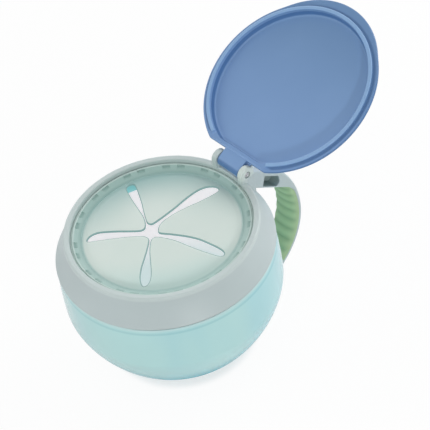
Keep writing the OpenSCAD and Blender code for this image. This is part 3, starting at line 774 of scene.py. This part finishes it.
def build_membrane():
    star = smooth_loop(STAR, 6)
    away = outward(star)
    # the slit's wall and its rounded lips, as (distance from the hole, drop from the top)
    lips = [(0.36, 0.0), (0.14, 0.03), (0.03, 0.1), (0.0, 0.22)]
    points = []
    for gap, drop in lips + [(gap, MEMBRANE_T - drop) for gap, drop in reversed(lips)]:
        points += [(x, y, dome_z(x, y) - drop) for x, y in star + away * gap]
    faces = strips(numbered(len(star), 2 * len(lips)))
    flat, triangles = sheet(star + away * lips[0][0])
    for drop, turned in ((0.0, 1), (MEMBRANE_T, -1)):
        start = len(points)
        points += [(x, y, dome_z(x, y) - drop) for x, y in flat]
        faces += [tuple(start + i for i in tri[::turned]) for tri in triangles]
    # the edge that the carrier ring clamps
    start = len(points)
    for r, drop in ((WINDOW_R, 0.0), (CLAMP_R, 0.0), (CLAMP_R, MEMBRANE_T), (WINDOW_R, MEMBRANE_T)):
        points += circle(r, MEMBRANE_Z - drop, RIM_POINTS)
    faces += strips(numbered(RIM_POINTS, 4, start))
    membrane = mesh_object("slit_membrane", points, faces, 55.0)
    finish_piece(membrane, [MEMBRANE, MEMBRANE_CUT_SHADE], "insert", "silicone", "flap_membrane")
    # the faces along the slits take the painted shade of the cut edge
    for face in membrane.data.polygons:
        face.material_index = int(distance_to(star, np.array(face.center[:2]) / MM) < 0.3)


# ---- collar and handle
def collar_profile():
    """The collar's section: its bore, the hem, the flared side, the bead and the lip, as (radius, height)."""
    bore = [(LIP_R, LIP_Z + 0.15), (LIP_R + 0.15, LIP_Z), (BORE_R - 0.2, LIP_Z), (BORE_R, LIP_Z - 0.2)]
    groove = [(BORE_R, HEM_Z + 0.9), (BORE_R + 0.3, HEM_Z + 0.6), (BORE_R + 1.4, HEM_Z + 0.6),
              (BORE_R + 1.7, HEM_Z + 0.9), (BORE_R + 1.7, HEM_Z + 4.2), (BORE_R + 1.9, HEM_Z + 4.2),
              (HEM_R - 1.7, HEM_Z + 0.5), (HEM_R - 1.4, HEM_Z)]
    hem = arc(HEM_R - 0.7, HEM_Z + 0.7, 0.7, -90, 0, 6)
    low, high = np.array((HEM_R, HEM_Z + 0.9)), np.array((BEAD_R, BEAD_Z - 1.1))
    swell = np.array((LIP_R + 0.49 * (HEM_R - LIP_R), HEM_Z + 0.52 * (BEAD_Z - HEM_Z)))
    side = [bent(low, swell, high, t) for t in np.linspace(0, 1, 28)]
    bead = arc(BEAD_R - 0.9, BEAD_Z - 0.9, 0.9, 0, 90, 8)
    lip = arc(LIP_R + 0.4, BEAD_Z - 0.6, 0.4, 90, 180, 4)
    return bore + groove + hem + side + bead + lip


def grip_hidden(points):
    """Keeps the points of the handle that lie below the arm's underside."""
    return [p for p in points if (np.array(p) - ARM_END) @ ARM_UP < -ARM_T]


def grip_corner():
    """Where the hard back's inner side would meet the arm's underside."""
    last = np.array(grip_hidden(back_line(BACK_T))[0])
    return last + ARM_UP * (ARM_UP @ (ARM_END - ARM_UP * ARM_T - last))


def top_turn(corner):
    """The rounded turn between the hard back's inner side and the arm's underside."""
    hidden = grip_hidden(back_line(BACK_T))
    inner = np.array(min(hidden, key=lambda p: abs(np.linalg.norm(np.array(p) - corner) - TURN_R)))
    return [bent(inner, corner, corner - ARM_WAY * TURN_R, t) for t in np.linspace(0.0, 1.0, 9)]


def both_sides(name, outline, near, far, edge=0.0, steps=4):
    """The same plate on both sides of the handle's middle plane."""
    return [plate(name, outline, *sorted((side * near, side * far)), edge, steps) for side in (-1, 1)]


def hinge_ears():
    outline = arc(HINGE_X, HINGE_Z, EAR_R, 0, 180, 28) + [(HINGE_X - EAR_R, 56.5), (HINGE_X + EAR_R, 56.5)]
    return both_sides("ear", outline, EAR_IN, EAR_OUT, 0.45)


def handle_arm():
    """The arm, the hard back behind the grip and the bare end, as one outline."""
    corner = grip_corner()
    start, root = (p - ARM_WAY * (p[0] - ROOT_X) / ARM_WAY[0] for p in (ARM_END, corner))
    outer = [tuple(start)] + back_line(0.0)
    mid, low = LOWER_R - HANDLE_T / 2, math.radians(TIP_A)
    end = arc(LOWER_X + mid * math.cos(low), HANDLE_Z - mid * math.sin(low), HANDLE_T / 2,
              -TIP_A, -TIP_A - 180, 16)[1:-1]
    bare = arc(LOWER_X, HANDLE_Z, LOWER_R - HANDLE_T, -TIP_A, BARE_A - TIP_A, 4)
    under = [p for p in grip_hidden(back_line(BACK_T, TIP_A - BARE_A))[::-1]
             if np.linalg.norm(np.array(p) - corner) > TURN_R + 0.3]
    under += top_turn(corner)
    outline = outer + end + bare + under + [tuple(root)]
    radii = [1.1] * len(outer) + [0.8] * len(end) + [0.6] * len(bare) + [0.35] * len(under) + [0.6]
    return plate("arm", outline, -HANDLE_W / 2, HANDLE_W / 2, radii)


def grip_core():
    """The rib of the handle that the soft grip is moulded round."""
    low = TIP_A - BARE_A + 1
    outline = back_line(BACK_T - 0.6, low) + back_line(CORE_IN, low)[::-1]
    return plate("core", outline, -CORE_HALF, CORE_HALF, 0.3)


def stop_ledge():
    """The ledge between the ears that the open lid's neck comes to rest on."""
    slope = math.pi - LID_OPEN
    rest = np.array((HINGE_X, HINGE_Z)) + LEDGE_GAP * np.array((math.sin(slope), -math.cos(slope)))
    top = [(x, rest[1] + (x - rest[0]) * math.tan(slope)) for x in (HINGE_X + 5.2, HINGE_X + 2.0)]
    foot = [(HINGE_X + 2.0, BEAD_Z - 6.0), (HINGE_X + 5.9, BEAD_Z - 6.0)]
    return plate("ledge", foot + top, -EAR_IN - 0.2, EAR_IN + 0.2, 0.3)


def collar_cutters():
    """What is cut from the collar: its bore, the hinge's holes and both sides of the strap slot."""
    low, high = HEM_Z - 14.0, BEAD_Z - 0.3
    profile = [(0.0, low), (BORE_R, low), (BORE_R, LIP_Z), (LIP_R, LIP_Z), (LIP_R, high), (0.0, high)]
    bore = lathe("bore", profile, closed=False, around=256)
    pin_hole = peg("pin_hole", PIN_R + 0.02, CUT_REACH, steps=1)
    barrel_room = peg("barrel_room", KNUCKLE_R + 0.4, EAR_IN, count=64, steps=1)
    sink = arc(HINGE_X, HINGE_Z, PIN_R + 0.42, 0, 360, 48)[:-1]
    sinks = both_sides("countersink", sink, EAR_OUT - 0.9, EAR_OUT + 1.0, steps=1)
    corners = rounded([(-8.0, 2.35, 0.3), (1.3, 2.3, 1.6), (3.6, -0.6, 2.0), (2.7, -2.85, 1.3),
                       (-6.5, -2.85, 0.3)], 6)
    slot = [tuple(SLOT_AT + ARM_WAY * along + ARM_UP * up) for along, up in corners]
    return [bore, pin_hole, barrel_room] + sinks + both_sides("slot", slot, 1.5, 9.0, steps=1)


def build_collar():
    collar = lathe("collar_shell", collar_profile(), around=256)
    combine(collar, hinge_ears() + [handle_arm(), grip_core(), stop_ledge()], "UNION")
    combine(collar, collar_cutters(), "DIFFERENCE")
    even_normals(collar, 36.0)
    finish_piece(collar, COLLAR, "collar", "shell_grey", "collar")


def rib_growth():
    """Sinks soft grooves across the grip, so that pads stand between them."""
    g = Growth("grip_ribs", Pitch="Float", Depth="Float", Seam="Float")
    given = g.given
    along, depth = (g.node("GeometryNodeInputNamedAttribute", {"data_type": "FLOAT"}, {"Name": name})
                    for name in ("along", "depth"))
    wave = abs(g.maths("COSINE", along / given["Pitch"] * math.pi))
    groove = 1.0 - g.maths("POWER", wave, 1.25)
    groove = groove * g.between(depth, given["Seam"] * 0.2, given["Seam"] * 5.0)
    shift = g.scaled(g.node("GeometryNodeInputNormal"), groove * given["Depth"] * -1.0)
    # the grooves' depth is kept for the grip's painted shade
    marked = g.keep(given["Geometry"], "groove", groove)
    g.result(g.node("GeometryNodeSetPosition", {}, {"Geometry": marked, "Offset": shift}))
    return g


def grip_section(seat, room):
    """The grip's section round the core as (depth from the back, y), its outer side first."""
    outer = [(seat + (HANDLE_T - seat) * math.sin(a) ** FULLNESS, HANDLE_W / 2 * math.cos(a) ** FULLNESS)
             for a in np.linspace(0, math.pi / 2, 19)]
    outer += [(d, -y) for d, y in reversed(outer[:-1])]
    wall = CORE_HALF + 0.05
    return outer + [(seat, -wall), (room, -wall), (room, wall), (seat, wall)]


def grip_rooms():
    """What the grip leaves free: the arm above it and the rounded turn at its top."""
    under_arm = ARM_END - ARM_UP * (ARM_T + 0.05)
    arm_room = [tuple(under_arm + ARM_WAY * along + ARM_UP * up)
                for along, up in ((-40, 0), (20, 0), (20, 40), (-40, 40))]
    corner = grip_corner()
    turn_room = [tuple(np.array(p) - (ARM_UP + ARM_WAY) * 0.04) for p in top_turn(corner)]
    turn_room += [tuple(corner - ARM_WAY * TURN_R + ARM_UP * 3), tuple(corner + ARM_WAY * 3 + ARM_UP * 3)]
    return [plate(name, outline, -CUT_REACH, CUT_REACH, steps=1)
            for name, outline in (("arm_room", arm_room), ("turn_room", turn_room))]


def build_grip():
    """The soft grip: a rounded channel round the handle's core, ribbed across for the fingers."""
    seat, room = BACK_T + 0.05, CORE_IN + 0.05
    section = grip_section(seat, room)
    low = -(TIP_A - BARE_A - 0.17)
    stations = [(math.radians(a), LOWER_R, LOWER_X) for a in np.arange(low, 0.0, 0.42)]
    stations += [(math.radians(a), UPPER_R, UPPER_X) for a in np.linspace(0.0, 27.0, 76)]
    points, along, depth = [], [], []
    for a, r, cx in stations:
        for d, y in section:
            points.append((cx + (r - d) * math.cos(a), y, HANDLE_Z + (r - d) * math.sin(a)))
            along.append(a * (r - HANDLE_T) * MM)
            open_side = d > seat and abs(y) > CORE_HALF + 0.1 or d > room + 0.1
            depth.append((d - seat) * MM if open_side else 0.0)
    loops = numbered(len(section), len(stations))
    ends = [tuple(loops[0]), tuple(reversed(loops[-1]))]
    grip = mesh_object("finger_grip", points, strips(loops) + ends, 50.0)
    for name, values in (("along", along), ("depth", depth)):
        grip.data.attributes.new(name, "FLOAT", "POINT").data.foreach_set("value", values)
    rib_growth().grow(grip, Pitch=4.9 * MM, Depth=0.5 * MM, Seam=0.6 * MM, Finish=GRIP)
    for name in ("along", "depth"):
        grip.data.attributes.remove(grip.data.attributes[name])
    combine(grip, grip_rooms(), "DIFFERENCE")
    even_normals(grip, 50.0)
    finish_piece(grip, GRIP, "collar", "grip_green", "handle_grip")


def build_pin():
    side = rounded([(0.001, -PIN_HALF, 0), (PIN_R, -PIN_HALF, 0.2),
                    (PIN_R, PIN_HALF, 0.2), (0.001, PIN_HALF, 0)], 3)
    dimple = [(0.0, PIN_HALF - 0.35), (0.35, PIN_HALF - 0.35), (PIN_R / 2, PIN_HALF)]
    profile = [(r, -z) for r, z in dimple] + side[1:-1] + dimple[::-1]
    pin = lathe("hinge_pin_rod", profile, closed=False, around=40)
    pin.data.transform(Matrix.Translation(in_metres(*LID_PIVOT)) @ Matrix.Rotation(math.pi / 2, 4, "X"))
    finish_piece(pin, PIN, "collar", "pin_steel", "hinge_pin")


# ---- lid
def lid_edge(a):
    """Radius of the lid's outline at an angle from the hinge: its disc, blended into the thumb lip."""
    reach = THUMB_OFF * math.cos(a)
    thumb = reach + math.sqrt(max(0.0, THUMB_R ** 2 - THUMB_OFF ** 2 * math.sin(a) ** 2))
    return max(LID_R, thumb) + THUMB_BLEND * math.exp(-abs(LID_R - thumb) / THUMB_BLEND) * 0.5


def lid_rings():
    """Rings of points from the crown's middle over the edge to the middle of the hollow, the lid closed."""
    angles = [2 * math.pi * k / LID_AROUND for k in range(LID_AROUND)]

    def capped(r, inset, a):
        """The radius, cut short by the chord beside the hinge."""
        c = math.cos(a)
        return min(r, (CHORD_X - inset) / c) if c > 0.1 else r

    def stand(a):
        """1 where the plug ring stands, 0 in its gap beside the hinge."""
        off = abs(math.atan2(math.sin(a), math.cos(a)))
        t = min(1.0, max(0.0, (math.degrees(off) - PLUG_GAP) / 1.2))
        return t * t * (3 - 2 * t)

    def ring(radius, height):
        return [(radius(a) * math.cos(a), radius(a) * math.sin(a), height(a)) for a in angles]

    def level(r, inset, z):
        return ring(lambda a: capped(r, inset, a), lambda a: z)

    def edge(inset, z):
        return ring(lambda a: capped(lid_edge(a) - inset, inset, a), lambda a: z)

    brow, top = PLUG_R - CROWN_ROUND, LID_Z + LID_EDGE
    rings = [level(brow * share, 0.7 + CROWN_ROUND, CROWN_Z + LID_RISE * (1 - share * share))
             for share in (i / 8 for i in range(1, 9))]
    rings += [level(x, 0.7 + (PLUG_R - x), z)
              for x, z in arc(brow, CROWN_Z - CROWN_ROUND, CROWN_ROUND, 80, 0, 7)]
    rings += [level(PLUG_R + 0.1, 0.55, top + 0.15), level(PLUG_R + 0.3, EDGE_ROUND, top)]
    turns = [math.pi / 2 * i / 6 for i in range(7)]
    rings += [edge(EDGE_ROUND * (1 - math.sin(t)), top - EDGE_ROUND * (1 - math.cos(t))) for t in turns]
    rings += [edge(EDGE_ROUND * (1 - math.cos(t)), LID_Z + EDGE_ROUND * (1 - math.sin(t))) for t in turns]
    rings += [level(PLUG_R + 0.35, 0.7, LID_Z), level(PLUG_R + 0.12, 0.8, LID_Z - 0.02)]
    # the plug ring, as (distance in from its outer side, inset from the chord, share of its height)
    for inward, inset, share in ((0.0, 0.9, 0.2), (0.05, 1.0, 0.75), (0.12, 1.05, 0.9), (0.35, 1.2, 1.0),
                                 (0.85, 1.5, 1.0), (1.35, 1.8, 1.0), (1.6, 1.95, 0.9), (1.7, 2.05, 0.75)):
        rings.append(ring(lambda a: capped(PLUG_R - inward, inset, a),
                          lambda a: LID_Z - stand(a) * (LID_Z - TIP_Z) * share))
    # the hollow's wall and its turn into the floor
    for r, inset, z in ((35.75, 2.15, LID_Z + 0.1), (35.3, 2.4, HOLLOW_Z - 0.9), (35.2, 2.5, HOLLOW_Z - 0.5),
                        (34.95, 2.75, HOLLOW_Z - 0.2), (34.6, 3.1, HOLLOW_Z - 0.04),
                        (HOLLOW_R, 3.5, HOLLOW_Z + 0.04)):
        rings.append(level(r, inset, z))
    for i in range(1, 9):
        share = 1 - i / 9
        rings.append(level(HOLLOW_R * share, 3.9 + 2 * i, HOLLOW_Z + LID_RISE * (1 - share * share)))
    return rings


def build_lid():
    rings = lid_rings()
    loops = numbered(LID_AROUND, len(rings))
    first = LID_AROUND * len(rings)
    points = sum(rings, []) + [(0.0, 0.0, CROWN_Z + LID_RISE), (0.0, 0.0, HOLLOW_Z + LID_RISE)]
    faces = strips(loops)
    faces += [(first, loops[0][(k + 1) % LID_AROUND], loops[0][k]) for k in range(LID_AROUND)]
    faces += [(first + 1, loops[-1][k], loops[-1][(k + 1) % LID_AROUND]) for k in range(LID_AROUND)]
    lid = mesh_object("hinged_lid", points, faces, 60.0)
    half, root, neck_top = KNUCKLE_W / 2, CHORD_X - 2.2, HINGE_Z + 1.6
    neck = [(root, LID_Z), (HINGE_X, LID_Z - 0.1), (HINGE_X, neck_top), (root, neck_top)]
    ridge = arc(CHORD_X - 0.55, LID_Z + 0.28, 0.5, 0, 360, 24)[:-1]
    combine(lid, [plate("neck", neck, -half, half, 0.35), peg("barrel", KNUCKLE_R, half, 0.35, 64),
                  plate("ridge", ridge, -RIDGE_HALF, RIDGE_HALF, 0.3)], "UNION")
    combine(lid, [peg("knuckle_hole", PIN_R + 0.06, CUT_REACH, steps=1)], "DIFFERENCE")
    even_normals(lid, 40.0)
    to_pivot = Matrix.Translation(in_metres(*LID_PIVOT))
    lid.data.transform(to_pivot @ Matrix.Rotation(LID_OPEN, 4, "Y") @ to_pivot.inverted())
    finish_piece(lid, LID, "lid", "lid_blue", "lid")


# ---- floor, light and camera
# In metres: the camera's place, the place the lamps face and half the floor's width
CAMERA_PLACE, AIM, FLOOR_HALF = Vector((-0.1928, -0.3227, 0.4390)), Vector((0.01, 0.0, 0.045)), 3.0
HEADING, TILT, ROLL = math.radians(55.74), math.radians(44.87), math.radians(-10.72)
FOCAL_PX, FRAME_PX, SENSOR_WIDTH = 1300.0, 430.0, 36.0


def build_floor():
    f = Finish("pale_floor")
    seen = f.node("ShaderNodeLightPath", out="Is Camera Ray")
    matte = f.node("ShaderNodeBsdfDiffuse", {}, {"Color": (0.9, 0.9, 0.9, 1.0)})
    glow = f.node("ShaderNodeEmission", {}, {"Color": (1.0, 1.0, 1.0, 1.0), "Strength": 1.0})
    # mostly a white glow to the camera, less of it under the bowl, where its shadow stays
    clear = f.over(f.radius(), 30.5, 35.0) * 0.27 + 0.67
    part = f.node("ShaderNodeMixShader", {}, {0: seen * clear, 1: matte, 2: glow})
    mesh = bpy.data.meshes.new("floor")
    corners = ((-1, -1), (1, -1), (1, 1), (-1, 1))
    mesh.from_pydata([(x * FLOOR_HALF, y * FLOOR_HALF, 0.0) for x, y in corners], [], [(0, 1, 2, 3)])
    mesh.materials.append(f.surface(part))
    floor = placed("floor", mesh)


def build_world():
    """A soft sky for the light, and plain white to the camera, in gloss and through clear parts."""
    world = bpy.data.worlds.new("studio")
    bpy.context.scene.world = world
    world.use_nodes = True
    world.node_tree.nodes.clear()
    sky = NodeMaker(world.node_tree)
    camera, glossy, through = (sky.node("ShaderNodeLightPath", out=f"Is {kind} Ray")
                               for kind in ("Camera", "Glossy", "Transmission"))
    seen = sky.maths("MAXIMUM", sky.maths("MAXIMUM", camera, glossy), through)
    soft, white = (sky.node("ShaderNodeBackground", {}, {"Color": (1.0, 1.0, 1.0, 1.0), "Strength": strength})
                   for strength in (0.3, 1.0))
    mixed = sky.node("ShaderNodeMixShader", {}, {0: seen, 1: soft, 2: white})
    sky.node("ShaderNodeOutputWorld", {}, {"Surface": mixed}, None)


def softbox(name, place, size, power):
    """A rectangular lamp, in metres and watts, that faces the aim."""
    light = bpy.data.lights.new(name, "AREA")
    light.shape, light.energy = "RECTANGLE", power
    light.size, light.size_y = size
    box = placed(name, light)
    box.location = place
    box.rotation_euler = (AIM - place).to_track_quat("-Z", "Y").to_euler()


def camera_axes():
    """The camera's right, its up and the way it looks."""
    flat = math.cos(TILT)
    forward = Vector((flat * math.cos(HEADING), flat * math.sin(HEADING), -math.sin(TILT)))
    level = Vector((math.sin(HEADING), -math.cos(HEADING), 0.0))
    right = math.cos(ROLL) * level + math.sin(ROLL) * level.cross(forward)
    return right, right.cross(forward), forward


def build_camera():
    right, up, forward = camera_axes()
    data = bpy.data.cameras.new("camera")
    data.sensor_width = SENSOR_WIDTH
    data.lens = FOCAL_PX / FRAME_PX * SENSOR_WIDTH
    data.clip_start = 0.01
    camera = placed("camera", data)
    turn = Matrix((right, up, -forward)).transposed().to_4x4()
    camera.matrix_world = Matrix.Translation(CAMERA_PLACE) @ turn
    bpy.context.scene.camera = camera


def build_lights():
    """Soft boxes, each placed from the aim to the camera's right, away from the camera and upward."""
    forward = camera_axes()[2]
    away = Vector((forward.x, forward.y, 0)).normalized()
    right = Vector((away.y, -away.x, 0))
    for name, right_way, far_way, height, size, power in (
            ("left_box", -0.75, 0.0, 0.35, (0.5, 0.7), 1.9),
            ("right_strip", 0.70, 0.45, 0.30, (0.5, 0.8), 4.1),
            ("right_box", 0.75, 0.0, 0.4, (0.5, 0.7), 0.4),
            ("top_box", 0.0, -0.4, 0.9, (0.6, 0.6), 1.5),
            ("lid_box", 0.17, -0.86, 0.25, (0.07, 0.07), 2.1),
            ("back_box", 0.0, 0.9, 0.35, (1.2, 0.6), 3.8)):
        softbox(name, AIM + right * right_way + away * far_way + Vector((0, 0, height)), size, power)


build_camera()
build_world()
build_floor()
build_lights()
build_bowl()
build_thread()
build_ring()
build_membrane()
build_collar()
build_grip()
build_pin()
build_lid()
bpy.context.scene.view_settings.view_transform = "Standard"
